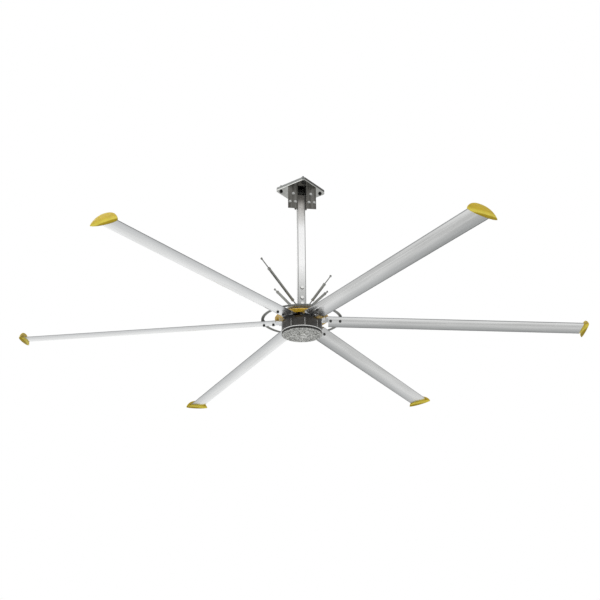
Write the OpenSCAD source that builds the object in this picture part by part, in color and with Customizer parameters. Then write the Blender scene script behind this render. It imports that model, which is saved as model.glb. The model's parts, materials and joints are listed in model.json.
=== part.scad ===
// Industrial ceiling fan: six hollow blades on a slow direct-drive motor, hung
// from a square ceiling plate by a square tube and steadied by four stays.
// Millimetres, +Z up. The origin is the middle of the ceiling plate's top face.

/* [Whole fan] */
// Ceiling face down to the plane of the blade roots
drop = 1345; // [1000:5:2400]
// Fan axis out to the end of a blade
blade_reach = 2450; // [1500:10:3600]
// How far the rotor is turned at rest, in degrees
rotor_rest = 36; // [0:1:59]

/* [Blades] */
// Front edge to back edge of a blade
chord = 178; // [170:1:200]
// Greatest thickness of a blade
blade_thick = 24; // [24:0.5:30]
// Skin between the rear cells and the outside
skin = 2.5; // [2:0.25:3.5]
// Web between two cells of a blade
web = 3; // [2:0.5:5]
// How far the back edge hooks down below the straight chord
hook = 10; // [0:1:14]
// Fan axis to the inner end of a blade
blade_root = 235; // [232:1:245]
// Fall of a blade towards its end, in degrees
droop = 2.8; // [0:0.1:4]
// Tilt of a blade about its own length, in degrees
pitch = 6; // [0:0.5:8]
// Front edge of a blade to the middle of its arm
arm_setback = 57; // [56:1:60]

/* [Blade arms] */
// Width of an arm's flat pad on the motor
pad_w = 110; // [100:1:112]
// Thickness of the pad
pad_t = 30; // [24:1:40]
// Fan axis to the inner end of a pad
pad_in = 118; // [116:1:124]
// Fan axis to the outer end of a pad
pad_out = 206; // [190:1:212]
// Width of the spar that enters the blade
spar_w = 76; // [60:1:78]
// Thickness of the spar
spar_t = 14; // [10:0.5:14]
// Fan axis to the outer end of a spar
spar_end = 400; // [375:5:600]
// Play between a spar and its pocket
spar_play = 0.3; // [0.2:0.05:0.5]
// Fan axis to the inner bolt of a blade
bolt_in = 256; // [254:1:290]
// Fan axis to the outer bolt of a blade
bolt_out = 340; // [320:1:350]
// Fan axis to the bolts of a pad
pad_bolt = 150; // [145:1:155]
// Distance between a pad's two bolts
pad_bolt_gap = 56; // [44:1:60]

/* [Hub] */
// Radius of the hub disc
disc_r = 240; // [215:1:250]
// Thickness of the hub disc
disc_t = 6; // [4:0.5:10]
// Radius of the disc's middle hole
disc_hole_r = 78; // [70:1:90]
// Outer radius of the safety ring
ring_r = 362; // [356:1:372]
// Width of the safety ring's strip
ring_w = 26; // [24:1:30]
// Thickness of the safety ring
ring_t = 6; // [4:0.5:8]
// Gap between the blades and the safety ring above them
ring_gap = 1.8; // [1:0.1:6]

/* [Motor] */
// Outer radius of the motor
motor_r = 180; // [178:1:190]
// Wall of the motor housing
motor_wall = 16; // [14:0.5:18]
// Blade root plane down to the top of the housing
housing_top = 41; // [38:1:46]
// Height of the motor housing
housing_h = 70; // [70:1:90]
// Thickness of the trim ring under the housing
trim_t = 6; // [4:0.5:8]
// How far the trim ring stands proud of the housing
trim_proud = 1.5; // [0.5:0.25:3]
// Depth of the dark groove between trim ring and cover
groove_t = 12; // [8:0.5:14]
// How far the groove is set back
groove_in = 3.5; // [3:0.5:6]
// Thickness of the bottom cover's plate
cover_t = 9; // [8:0.5:12]
// Radius of the cover's middle boss
boss_r = 44; // [40:1:48]
// Height of the cover's middle boss
boss_h = 9; // [7:0.5:12]
// Depth of the cover's rim pockets
pocket_depth = 3; // [2:0.5:4]
// Running gap between the teeth and the magnets
air_gap = 1.2; // [0.8:0.1:2]
// Thickness of a magnet
magnet_t = 8; // [5:0.5:9]
// Height of the stator core
core_h = 52; // [40:1:52]
// Thickness of a coil around its tooth
coil_t = 8; // [5:0.5:9]

/* [Shaft] */
// Radius of the shaft in the upper bearing
shaft_r = 30; // [28:0.5:31]
// Radius of the shaft in the lower bearing
shaft_end_r = 20; // [18:0.5:21]
// Radius of the cable bore along the shaft
shaft_bore_r = 11; // [8:0.5:13]
// Radius of the shaft's top flange
flange_r = 108; // [104:1:120]
// Thickness of the shaft's top flange
flange_t = 14; // [10:1:16]
// Blade root plane up to the top of that flange
flange_z = 87; // [80:1:120]
// Fan axis to the flange bolts
flange_bolt = 86; // [84:1:90]
// Radial play of a bearing race on its seat
race_play = 0.03; // [0.01:0.01:0.05]
// Play of a ball in its groove
ball_play = 0.05; // [0.02:0.01:0.08]

/* [Tube] */
// Side of the square tube
tube_w = 75; // [70:1:80]
// Wall of the square tube
tube_wall = 4; // [3:0.5:5]
// Corner radius of the square tube
tube_corner = 6; // [5:0.5:8]
// Radius of the base plate under the tube
base_r = 146; // [140:1:160]
// Thickness of the base plate
base_t = 12; // [8:1:16]
// Height of the sleeve inside the tube
sleeve_h = 246; // [235:1:300]
// Wall of that sleeve
sleeve_wall = 6; // [4:0.5:8]
// Play between sleeve and tube
sleeve_play = 0.5; // [0.3:0.1:0.8]

/* [Stays] */
// Fan axis to a stay's pin
lug_r = 76; // [74:1:90]
// Height of the pin over the base plate
lug_h = 27; // [24:1:50]
// Thickness of one lug ear
ear_t = 8; // [6:0.5:10]
// Thickness of the eye between two ears
eye_t = 12; // [12:0.5:14]
// Side play of the eye between its ears
eye_play = 0.3; // [0.2:0.05:0.5]
// Radius of the pin
pin_r = 6; // [5:0.5:6.5]
// Radial play of the eye on the pin
pin_play = 0.05; // [0.02:0.01:0.08]
// Rise of each stay above level, in degrees
stay_rise = [41, 42.5, 48.5, 29.5]; // [25:0.5:48]
// Pin to upper eye of each stay
stay_len = [329, 434, 354, 556]; // [300:1:600]
// Upper rod left in sight between sleeve and eye of each stay
rod_shown = [84, 40, 40, 108]; // [40:1:120]
// Radius of the hole for the guy line's shackle
guy_hole_r = 5; // [4:0.5:6]
// Thickness of the upper eye
guy_eye_t = 8; // [6:0.5:9]

/* [Ceiling plate] */
// Side of the square plates
plate_w = 338; // [320:1:400]
// Corner radius of the plates
plate_corner = 26; // [15:1:35]
// Thickness of the upper plate
plate_t = 20; // [12:1:25]
// Thickness of the lower plate
lower_t = 12; // [8:1:16]
// Stud to stud distance along each side
stud_gap = 262; // [250:1:270]
// Radius of a stud
stud_r = 8; // [6:0.5:9]
// How far the studs stand above the plate
stud_out = 30; // [20:1:60]

/* [Hanger] */
// Height of the two hanger angles
hanger_h = 230; // [210:5:300]
// Middle of the tube to the front of the angles
hanger_front = 105; // [100:1:110]
// Front to back size of an angle, along the tube's side
hanger_d = 150; // [140:1:180]
// Width of an angle's front flange
hanger_w = 94; // [88:1:96]
// Thickness of the angles
hanger_t = 6; // [4:0.5:8]
// Thickness of the welded cleats
cleat_t = 8; // [6:0.5:10]
// Lower plate's underside down to the tube's top
tube_gap = 52; // [40:1:60]

/* [Hidden] */
$fn = 96;
eps = 0.01;
blades = 6;
stays = 4;

steel = "#8f918f";
dark_steel = "#4c4d4b";
galvanised = "#c2c4c2";
aluminium = "#d2d4d6";
yellow = "#d1a92b";
black_paint = "#232224";
light_paint = "#e4e5e4";

// The tube and its hanger stand cornerwise on the ceiling plate
tube_turn = 45;

// Heights below the ceiling face
lower_top = -plate_t;
under = lower_top - lower_t;
tube_top = under - tube_gap;
base_top = flange_z + base_t;

// Bolt sizes: shank radius, head radius, head height, washer radius, washer height
M6 = [3, 5, 5, 6.4, 1.6];
M12 = [6, 10.4, 8, 12, 2.5];
M14 = [7, 12.1, 9, 14, 2.5];
M16 = [8, 13.9, 10, 16, 3];
hole_play = 0.3;
seat_play = 0.05;
stud_waist = 0.5;

// Places on a blade, measured across it from its centreline
arm_y = arm_setback - chord / 2;
pad_low = arm_y + 7 - pad_w / 2;
pocket_back = arm_y + spar_w / 2 + spar_play;
rear_start = pocket_back + web;
rear_split = 0.72;
rear_stop = 0.89;

// Levels in the motor, from the blade root plane
shield_top = -pad_t / 2;
housing_low = -housing_top - housing_h;
trim_low = housing_low - trim_t;
groove_low = trim_low - groove_t;
cover_low = groove_low - cover_t;
bore_r = motor_r - motor_wall;
spigot_r = bore_r - 0.1;
tie_r = motor_r - motor_wall / 2 - 1;
tie_count = 9;
core_top = -housing_top - 11;
core_r = bore_r - magnet_t - air_gap;
tooth_count = 24;
magnet_count = 28;
tooth_w = 8;

// Bearings: shaft radius, outer radius, ball radius, top level, height
upper_bearing = [shaft_r, shaft_r + 25, 5.5, shield_top, 22];
lower_bearing = [shaft_end_r, shaft_end_r + 20, 4.5, groove_low + 18, 18];
ball_counts = [18, 16];
nut_h = 7;

// Bolts of the front flanges: distance from the tube's middle, depth under the plate
flange_bolt_places = [[82, 78], [113, 165], [64, 165]];
cross_bolt_depths = [95, 175];
sleeve_bolt_heights = [52, 108, 207];

// Thickness of half a blade at s, from 0 at the front edge to 1 at the back
function half_thick(s) = 5 * blade_thick * (0.2969 * sqrt(s) - 0.126 * s - 0.3516 * s * s
    + 0.2843 * s * s * s - 0.1015 * s * s * s * s) + 1.2 * s;
function camber(s) = s < 0.4 ? 0 : -hook * pow((s - 0.4) / 0.6, 2);
function blade_y(s) = (s - 0.5) * chord;
function blade_s(y) = y / chord + 0.5;
function spread(a, b, n) = [for (i = [0:n]) a + (b - a) * i / n];

// Levels of the safety ring, from the highest point of the blades below it
blade_crown = max([for (s = [0.05:0.05:0.4]) cos(pitch) * half_thick(s) - sin(pitch) * blade_y(s)]);
ring_low = ring_gap + cos(droop) * blade_crown - sin(droop) * (ring_r - ring_w - 6);
ring_top = ring_low + ring_t;
ring_seat = (ring_top + sin(droop) * bolt_out + cos(droop) * sin(pitch) * arm_y) / cos(droop)
    / cos(pitch) + sin(droop + pitch) * M12[3];

// Outline of a blade between two stations, drawn in by a wall
function profile(a, b, wall, n) = concat(
    [for (s = spread(a, b, n)) [blade_y(s), camber(s) + half_thick(s) - wall]],
    [for (s = spread(b, a, n)) [blade_y(s), camber(s) - half_thick(s) + wall]]);
// Full outline, with its points crowded together at the round front edge
front_steps = [for (i = [0:22]) pow(i / 22, 1.8)];
blade_outline = concat(
    [for (i = [1:22]) [blade_y(front_steps[i]),
        camber(front_steps[i]) + half_thick(front_steps[i])]],
    [for (i = [22:-1:0]) [blade_y(front_steps[i]),
        camber(front_steps[i]) - half_thick(front_steps[i])]]);

module at_root() {
    translate([0, 0, -drop]) children();
}

// Frame of hub station i, with +X out along the blade
module hub_frame(i) {
    at_root() rotate([0, 0, rotor_rest + i * 360 / blades]) children();
}

// Droop and pitch of a blade, on top of its hub frame
module blade_turn() {
    rotate([0, droop, 0]) rotate([-pitch, 0, 0]) children();
}

module tube_frame() {
    rotate([0, 0, tube_turn]) children();
}

// Frame of a stay: origin on its pin, +X along the stay, +Y along the pin
module stay_frame(k) {
    at_root() rotate([0, 0, k * 360 / stays]) translate([lug_r, 0, base_top + lug_h])
        rotate([0, -stay_rise[k], 0]) children();
}

module tube_part(r_out, r_in, low, high) {
    translate([0, 0, low]) difference() {
        cylinder(r = r_out, h = high - low);
        translate([0, 0, -1]) cylinder(r = r_in, h = high - low + 2);
    }
}

module round_square(w, d, r) {
    square([w - 2 * r, d], center = true);
    square([w, d - 2 * r], center = true);
    for (x = [-1, 1], y = [-1, 1])
        translate([x * (w / 2 - r), y * (d / 2 - r)]) circle(r = r, $fn = 48);
}

// Bolt hanging down from z = 0: head and washer above, shank below
module bolt(size, length, sides = 6) {
    translate([0, 0, -length]) cylinder(r = size[0], h = length + 1, $fn = 32);
    cylinder(r = size[3], h = size[4], $fn = 32);
    translate([0, 0, size[4]]) cylinder(r = size[1], h = size[2], $fn = sides);
}

// Bolt as above, with a washer and nut that clamp a stack of the given height
module through_bolt(size, grip, sides = 6) {
    end = grip + size[4] + size[2] + size[0] / 2;
    bolt(size, end, sides);
    translate([0, 0, -grip - size[4]]) cylinder(r = size[3], h = size[4], $fn = 32);
    translate([0, 0, -grip - size[4] - size[2]]) cylinder(r = size[1], h = size[2], $fn = 6);
}

module pin_hole(r, depth) {
    translate([0, 0, -depth - 1]) cylinder(r = r, h = depth + 2, $fn = 32);
}

// Ceiling side

module stud_places() {
    for (x = [-1, 1], y = [-1, 1]) translate([x * stud_gap / 2, y * stud_gap / 2, 0]) children();
}

module plate_blank(top, thick) {
    translate([0, 0, top - thick]) linear_extrude(thick)
        round_square(plate_w, plate_w, plate_corner);
}

module ceiling_plate() {
    color(galvanised) difference() {
        plate_blank(0, plate_t);
        stud_places() pin_hole(stud_r + hole_play, plate_t);
    }
}

// Bolt places of the front flanges, with +Z out of the front
module flange_places() {
    for (side = [-1, 1], p = flange_bolt_places)
        translate([side * p[0], -hanger_front, under - p[1]]) rotate([90, 0, 0]) children();
}

module hanger_plate() {
    cleat_in = tube_w / 2 + 2 * hanger_t + 1;
    cleat_out = tube_w / 2 + hanger_w - hanger_t;
    cleat_h = hanger_h - 15;
    color(light_paint) difference() {
        union() {
            plate_blank(lower_top, lower_t);
            tube_frame() for (side = [-1, 1])
                translate([side * (cleat_in + cleat_out) / 2, hanger_t + cleat_t / 2 - hanger_front,
                    under - cleat_h / 2])
                    cube([cleat_out - cleat_in, cleat_t, cleat_h + 2 * eps], center = true);
        }
        translate([0, 0, lower_top]) stud_places() pin_hole(stud_r + hole_play, lower_t);
        tube_frame() flange_places() pin_hole(M14[0] + hole_play, hanger_t + cleat_t + 1);
    }
}

// Studs of full size above the plates, with a slightly waisted shank down through them
module ceiling_studs() {
    nut = M16[2];
    low = under - M16[4] - nut - 4;
    color(dark_steel) stud_places() {
        cylinder(r = stud_r, h = stud_out, $fn = 48);
        translate([0, 0, low]) cylinder(r = stud_r - stud_waist, h = 1 - low, $fn = 48);
        translate([0, 0, under - M16[4]]) cylinder(r = M16[3] + 1, h = M16[4], $fn = 48);
        translate([0, 0, under - M16[4] - nut]) cylinder(r = M16[1], h = nut, $fn = 6);
    }
}

// Section of an angle: front flange along +X, side leg along +Y
module angle_section() {
    intersection() {
        translate([hanger_w, hanger_d]) difference() {
            round_square(2 * hanger_w, 2 * hanger_d, 2 * hanger_t);
            round_square(2 * hanger_w - 2 * hanger_t, 2 * hanger_d - 2 * hanger_t, hanger_t);
        }
        square([hanger_w, hanger_d]);
    }
}

// Angle whose side leg lies against one side of the tube
module hanger_angle(side) {
    x_in = tube_w / 2 + seat_play;
    color(dark_steel) tube_frame() difference() {
        translate([0, -hanger_front, under - hanger_h]) linear_extrude(hanger_h)
            mirror([side < 0 ? 1 : 0, 0]) translate([x_in, 0]) angle_section();
        flange_places() pin_hole(M14[0] + hole_play, hanger_t + 1);
        cross_places() pin_hole(M16[0] + hole_play, 2 * x_in + 2 * hanger_t);
    }
}

module cross_places() {
    for (depth = cross_bolt_depths)
        translate([tube_w / 2 + seat_play + hanger_t, 0, under - depth]) rotate([0, 90, 0]) children();
}

module hanger_bolts() {
    color(steel) tube_frame() flange_places() through_bolt(M14, hanger_t + cleat_t);
}

module cross_bolts() {
    color(steel) tube_frame() cross_places()
        through_bolt(M16, tube_w + 2 * seat_play + 2 * hanger_t);
}

// Tube and its base

module sleeve_places() {
    for (h = sleeve_bolt_heights)
        translate([0, -tube_w / 2, base_top + h - drop]) rotate([90, 0, 0]) children();
}

module downrod() {
    low = base_top - drop;
    color(light_paint) tube_frame() difference() {
        translate([0, 0, low]) linear_extrude(tube_top - low) difference() {
            round_square(tube_w, tube_w, tube_corner);
            round_square(tube_w - 2 * tube_wall, tube_w - 2 * tube_wall, tube_corner - tube_wall + 1);
        }
        cross_places() pin_hole(M16[0] + hole_play, tube_w + 2 * seat_play + 2 * hanger_t);
        sleeve_places() pin_hole(M16[0] + hole_play, tube_w);
    }
}

module flange_bolt_frame() {
    for (k = [0:3]) rotate([0, 0, tube_turn + 90 * k]) translate([flange_bolt, 0, 0]) children();
}

module mast_base() {
    sleeve_w = tube_w - 2 * tube_wall - 2 * sleeve_play;
    inner_w = sleeve_w - 2 * sleeve_wall;
    color(light_paint) difference() {
        union() {
            at_root() translate([0, 0, flange_z]) cylinder(r = base_r, h = base_t);
            tube_frame() at_root() translate([0, 0, base_top - eps]) linear_extrude(sleeve_h)
                round_square(sleeve_w, sleeve_w, 2);
        }
        at_root() translate([0, 0, base_top]) rotate([0, 0, tube_turn])
            linear_extrude(sleeve_h + 1) square([inner_w, inner_w], center = true);
        at_root() translate([0, 0, flange_z - 1]) cylinder(r = shaft_bore_r, h = base_t + 2);
        at_root() translate([0, 0, base_top]) flange_bolt_frame() pin_hole(M12[0] + hole_play, base_t);
        tube_frame() sleeve_places() pin_hole(M16[0] + hole_play, tube_w);
    }
}

module sleeve_bolts() {
    color(light_paint) tube_frame() sleeve_places() through_bolt(M16, tube_w, 48);
}

// Stays

module stay_lugs() {
    ear_r = 13;
    color(dark_steel) at_root() for (k = [0:stays - 1]) rotate([0, 0, k * 360 / stays])
        translate([0, 0, base_top]) for (side = [-1, 1])
            translate([0, side * (eye_t / 2 + eye_play + ear_t / 2), 0]) rotate([90, 0, 0])
                linear_extrude(ear_t, center = true) difference() {
                    union() {
                        translate([lug_r - ear_r, 0]) square([2 * ear_r, lug_h]);
                        translate([lug_r, lug_h]) circle(r = ear_r);
                    }
                    translate([lug_r, lug_h]) circle(r = pin_r + pin_play);
                }
}

module stay_pins() {
    reach = eye_t / 2 + eye_play + ear_t;
    color(steel) for (k = [0:stays - 1]) stay_frame(k) rotate([90, 0, 0]) {
        cylinder(r = pin_r, h = 2 * reach + 4, center = true);
        for (s = [-1, 1]) translate([0, 0, s * (reach + 2 + seat_play)])
            cylinder(r = pin_r + 3, h = 4, center = true);
    }
}

rod_r = 5;
rod_play = 0.1;
buckle_r = 12;
buckle_start = 55;
thread_len = 30;
function buckle_len(k) = stay_len[k] - buckle_start - rod_shown[k];

module along_x() {
    rotate([0, 90, 0]) children();
}

// Sleeve with a thread at each end and a window along its middle
module turnbuckle(k) {
    len = buckle_len(k);
    color(dark_steel) stay_frame(k) translate([buckle_start, 0, 0]) along_x() difference() {
        union() {
            cylinder(r = buckle_r, h = len);
            for (z = [0, len - 18]) translate([0, 0, z]) cylinder(r = buckle_r + 2.5, h = 18, $fn = 6);
        }
        translate([0, 0, -1]) cylinder(r = rod_r + rod_play, h = len + 2);
        translate([0, 0, thread_len]) cylinder(r = buckle_r - 3, h = len - 2 * thread_len);
        translate([0, 0, len / 2]) cube([2 * buckle_r + 2, 9, len - 2 * thread_len - 10], center = true);
    }
}

module eye(r, hole, thick) {
    rotate([90, 0, 0]) difference() {
        cylinder(r = r, h = thick, center = true);
        cylinder(r = hole, h = thick + 2, center = true);
    }
}

module eye_bolts(k) {
    low_end = buckle_start + thread_len + 25;
    high_start = buckle_start + buckle_len(k) - thread_len - 25;
    color(steel) stay_frame(k) {
        eye(14, pin_r + pin_play, eye_t);
        translate([12, 0, 0]) along_x() cylinder(r = rod_r, h = low_end - 12);
        translate([stay_len[k], 0, 0]) eye(guy_hole_r + 5, guy_hole_r, guy_eye_t);
        translate([high_start, 0, 0]) along_x() cylinder(r = rod_r, h = stay_len[k] - guy_hole_r - 2 - high_start);
    }
}

// Motor, standing part

module motor_shaft() {
    end = groove_low - nut_h + 1;
    step = lower_bearing[3];
    color(steel) at_root() difference() {
        rotate_extrude() polygon([[shaft_bore_r, end], [shaft_end_r - 1, end], [shaft_end_r, end + 1],
            [shaft_end_r, step], [shaft_r, step], [shaft_r, flange_z - flange_t - 8],
            [shaft_r + 8, flange_z - flange_t], [flange_r - 2, flange_z - flange_t],
            [flange_r, flange_z - flange_t + 2], [flange_r, flange_z], [shaft_bore_r, flange_z]]);
        translate([0, 0, flange_z]) flange_bolt_frame() pin_hole(M12[0] + hole_play, flange_t);
        translate([0, 0, core_top + 6]) along_x() cylinder(r = 6, h = shaft_r + 1, $fn = 48);
    }
}

module flange_bolts() {
    color(dark_steel) at_root() translate([0, 0, base_top]) flange_bolt_frame()
        through_bolt(M12, base_t + flange_t);
}

module tooth_places() {
    for (k = [0:tooth_count - 1]) rotate([0, 0, k * 360 / tooth_count]) children();
}

module stator_core() {
    yoke_out = core_r - 44;
    yoke_in = yoke_out - 14;
    color(steel) at_root() translate([0, 0, core_top - core_h]) linear_extrude(core_h)
        difference() {
            union() {
                circle(r = shaft_r + 12);
                difference() {
                    circle(r = yoke_out);
                    circle(r = yoke_in);
                }
                for (k = [0:5]) rotate(k * 60) translate([shaft_r + 6, -6])
                    square([yoke_in - shaft_r, 12]);
                intersection() {
                    circle(r = core_r);
                    tooth_places() {
                        translate([yoke_out - 4, -tooth_w / 2]) square([60, tooth_w]);
                        translate([core_r - 6, -9]) square([20, 18]);
                    }
                }
            }
            circle(r = shaft_r + 0.1);
        }
}

module windings() {
    inner = core_r - 40;
    outer = core_r - 8;
    color("#b5713a") at_root() tooth_places()
        translate([(inner + outer) / 2, 0, core_top - core_h / 2]) difference() {
            cube([outer - inner, tooth_w + 2 * coil_t, core_h + 2 * coil_t], center = true);
            cube([outer, tooth_w + 0.2, core_h + 0.2], center = true);
        }
}

// Ring of a bearing, with the ball groove cut into it
module race(bearing, r_in, r_out) {
    track = (bearing[0] + bearing[1]) / 2;
    mid = bearing[3] - bearing[4] / 2;
    difference() {
        tube_part(r_out, r_in, bearing[3] - bearing[4], bearing[3]);
        translate([0, 0, mid]) rotate_extrude() translate([track, 0]) circle(r = bearing[2]);
    }
}

function track_r(b) = (b[0] + b[1]) / 2;

module bearing_inner_races() {
    color(steel) at_root() for (b = [upper_bearing, lower_bearing])
        race(b, b[0] + race_play, track_r(b) - b[2] * 0.55);
}

module bearing_outer_races() {
    color(steel) at_root() for (b = [upper_bearing, lower_bearing])
        race(b, track_r(b) + b[2] * 0.55, b[1]);
}

module bearing_balls() {
    bearings = [upper_bearing, lower_bearing];
    color(galvanised) at_root() for (n = [0, 1]) for (k = [0:ball_counts[n] - 1])
        rotate([0, 0, k * 360 / ball_counts[n]])
            translate([track_r(bearings[n]), 0, bearings[n][3] - bearings[n][4] / 2])
                sphere(r = bearings[n][2] - ball_play, $fn = 32);
}

module shaft_nut() {
    color(steel) at_root() translate([0, 0, groove_low - nut_h]) difference() {
        cylinder(r = shaft_end_r + 8, h = nut_h, $fn = 6);
        translate([0, 0, -1]) cylinder(r = shaft_end_r + race_play, h = nut_h + 2);
    }
}

// Motor, turning part

module tie_places() {
    for (k = [0:tie_count - 1]) rotate([0, 0, rotor_rest + (k + 0.5) * 360 / tie_count])
        translate([tie_r, 0, 0]) children();
}

module motor_housing() {
    color(black_paint) at_root() difference() {
        tube_part(motor_r, bore_r, housing_low, -housing_top);
        tie_places() translate([0, 0, housing_low - 1])
            cylinder(r = M6[0] + hole_play, h = housing_h + 2, $fn = 32);
        for (k = [0:tie_count - 1]) rotate([0, 0, rotor_rest + k * 360 / tie_count])
            translate([motor_r, 0, housing_low + housing_h / 2])
                cube([2, 3, housing_h + 2], center = true);
    }
}

module upper_end_shield() {
    seat = upper_bearing[1] + race_play;
    color(black_paint) at_root() difference() {
        rotate_extrude() polygon([[seat, -housing_top], [bore_r - 14, -housing_top],
            [bore_r - 14, -housing_top - 5], [spigot_r, -housing_top - 5], [spigot_r, -housing_top],
            [motor_r, -housing_top], [motor_r, -housing_top + 6], [motor_r - 8, shield_top],
            [pad_in - 4, shield_top], [pad_in - 8, shield_top + 4], [pad_in - 8, -shield_top - 6],
            [pad_in - 14, -shield_top - 1], [disc_hole_r + 6, -shield_top - 1],
            [disc_hole_r, shield_top + 6], [shaft_r + 14, shield_top + 6],
            [shaft_r + 14, shield_top], [seat, shield_top]]);
        hub_bolt_places_local() translate([0, 0, shield_top - 21])
            cylinder(r = M12[0] + hole_play, h = 30, $fn = 32);
        tie_places() translate([0, 0, -housing_top - 1])
            cylinder(r = M6[0] + hole_play, h = 11, $fn = 32);
    }
}

// Bolts of all pads, in the frame of the blade root plane
module hub_bolt_places_local() {
    for (i = [0:blades - 1]) rotate([0, 0, rotor_rest + i * 360 / blades]) pad_bolt_places() children();
}

module pad_bolt_places() {
    for (s = [-1, 1]) translate([pad_bolt, arm_y + s * pad_bolt_gap / 2, 0]) children();
}

module bottom_cover() {
    seat = lower_bearing[1] + race_play;
    hub_r = seat + 10;
    nut_room = shaft_end_r + 10;
    pockets = 36;
    color("#aeb0aa") at_root() difference() {
        union() {
            rotate_extrude() polygon([[0, cover_low - boss_h], [boss_r - 3, cover_low - boss_h],
                [boss_r, cover_low - boss_h + 3], [boss_r, cover_low], [motor_r - 3, cover_low],
                [motor_r, cover_low + 3], [motor_r, groove_low], [spigot_r, groove_low],
                [spigot_r, groove_low + 12], [bore_r - 14, groove_low + 12], [bore_r - 14, groove_low],
                [hub_r, groove_low], [hub_r, lower_bearing[3] + 1], [0, lower_bearing[3] + 1]]);
            for (k = [0:5]) rotate([0, 0, rotor_rest + k * 60])
                translate([hub_r - 2, -3, groove_low - eps]) cube([bore_r - hub_r - 10, 6, 8]);
        }
        translate([0, 0, groove_low]) cylinder(r = seat, h = 30);
        translate([0, 0, groove_low - nut_h - 4]) cylinder(r = nut_room, h = 40);
        for (k = [0:pockets - 1]) rotate([0, 0, k * 360 / pockets])
            translate([motor_r - 68, -5, cover_low - 1]) cube([50, 9, pocket_depth + 1]);
        for (k = [0:9]) rotate([0, 0, k * 36]) translate([boss_r + 22, 0, cover_low - 1])
            cylinder(r = 7, h = 5, $fn = 48);
        tie_places() translate([0, 0, cover_low - 1]) {
            cylinder(r = M6[0] + hole_play, h = 30, $fn = 32);
            cylinder(r = M6[1] + 0.4, h = M6[2] + 1, $fn = 32);
        }
    }
}

module trim_ring() {
    color(light_paint) at_root() difference() {
        tube_part(motor_r + trim_proud, spigot_r + 0.15, trim_low, housing_low);
        tie_places() translate([0, 0, trim_low - 1]) cylinder(r = M6[0] + hole_play, h = 20, $fn = 32);
    }
}

module cover_gasket() {
    color("#1a1a1a") at_root() difference() {
        tube_part(motor_r - groove_in, spigot_r + 0.15, groove_low, trim_low);
        tie_places() translate([0, 0, groove_low - 1]) cylinder(r = M6[0] + hole_play, h = 20, $fn = 32);
    }
}

// Long screws with round heads sunk flush into the cover
module tie_bolts() {
    color("#aeb0aa") at_root() tie_places() {
        translate([0, 0, cover_low + seat_play]) cylinder(r = M6[1], h = M6[2] - seat_play, $fn = 32);
        translate([0, 0, cover_low + 1]) cylinder(r = M6[0], h = 7 - housing_top - cover_low, $fn = 32);
    }
}

module magnets() {
    color("#6b6d70") at_root() difference() {
        tube_part(bore_r - 0.05, bore_r - magnet_t, core_top - core_h - 2, core_top + 2);
        for (k = [0:magnet_count / 2 - 1]) rotate([0, 0, rotor_rest + k * 360 / magnet_count])
            cube([3 * motor_r, 2.4, 3 * housing_low], center = true);
    }
}

module shaft_seal() {
    color("#1a1a1a") at_root()
        tube_part(shaft_r + 14 - seat_play, shaft_r + 0.3, shield_top + seat_play, shield_top + 6);
}

// Hub

module hub_disc() {
    color(yellow) at_root() difference() {
        translate([0, 0, pad_t / 2]) rotate_extrude() polygon([[disc_hole_r, 0], [disc_r - 1, 0],
            [disc_r, 1], [disc_r, disc_t - 1], [disc_r - 1, disc_t], [disc_hole_r, disc_t]]);
        hub_bolt_places_local() cylinder(r = M12[0] + hole_play, h = pad_t / 2 + disc_t + 1, $fn = 32);
    }
}

module hub_bolts() {
    color(dark_steel) at_root() hub_bolt_places_local()
        translate([0, 0, pad_t / 2 + disc_t]) bolt(M12, pad_t + disc_t + 18);
}

module blade_bolt_places() {
    for (x = [bolt_in, bolt_out]) translate([x, arm_y, 0]) children();
}

// Side view of the taper from the pad down to the spar
arm_taper = [[pad_out - 18, pad_t / 2 - 3], [blade_root - 5, spar_t / 2],
    [blade_root - 5, -spar_t / 2], [pad_out - 18, 5.5 - pad_t / 2]];

module blade_arm(i) {
    color(aluminium) hub_frame(i) difference() {
        union() {
            translate([pad_in, pad_low, -pad_t / 2]) cube([pad_out - pad_in, pad_w, pad_t]);
            blade_turn() {
                translate([0, arm_y + spar_w / 2 + 2, 0]) rotate([90, 0, 0])
                    linear_extrude(spar_w + 4) polygon(arm_taper);
                translate([pad_out - 14, arm_y - spar_w / 2, -spar_t / 2])
                    cube([spar_end - pad_out + 14, spar_w, spar_t]);
            }
        }
        pad_bolt_places() pin_hole_through(pad_t);
        blade_turn() blade_bolt_places() pin_hole_through(spar_t);
    }
}

module pin_hole_through(thick) {
    cylinder(r = M12[0] + hole_play, h = thick + 2, center = true, $fn = 32);
}

// Blade laid along +X, with its section in the YZ plane
module along_blade(start, length) {
    translate([start, 0, 0]) rotate([90, 0, 90]) linear_extrude(length) children();
}

module blade_cells() {
    translate([arm_y, 0]) square([spar_w + 2 * spar_play, spar_t + 2 * spar_play], center = true);
    polygon(profile(blade_s(rear_start), rear_split - web / chord / 2, skin, 4));
    polygon(profile(rear_split + web / chord / 2, rear_stop, skin, 4));
}

module blade(i) {
    color(aluminium) hub_frame(i) blade_turn() difference() {
        along_blade(blade_root, blade_reach - blade_root) difference() {
            polygon(blade_outline);
            blade_cells();
        }
        blade_bolt_places() pin_hole_through(2 * blade_thick);
    }
}

module blade_bolts() {
    color(dark_steel) for (i = [0:blades - 1]) hub_frame(i) blade_turn() {
        gap = blade_thick + seat_play * 2 + 0.9;
        translate([bolt_in, arm_y, -gap / 2]) mirror([0, 0, 1]) through_bolt(M12, gap);
        translate([bolt_out, arm_y, -gap / 2]) mirror([0, 0, 1])
            through_bolt(M12, ring_seat + gap / 2);
    }
}

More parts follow.
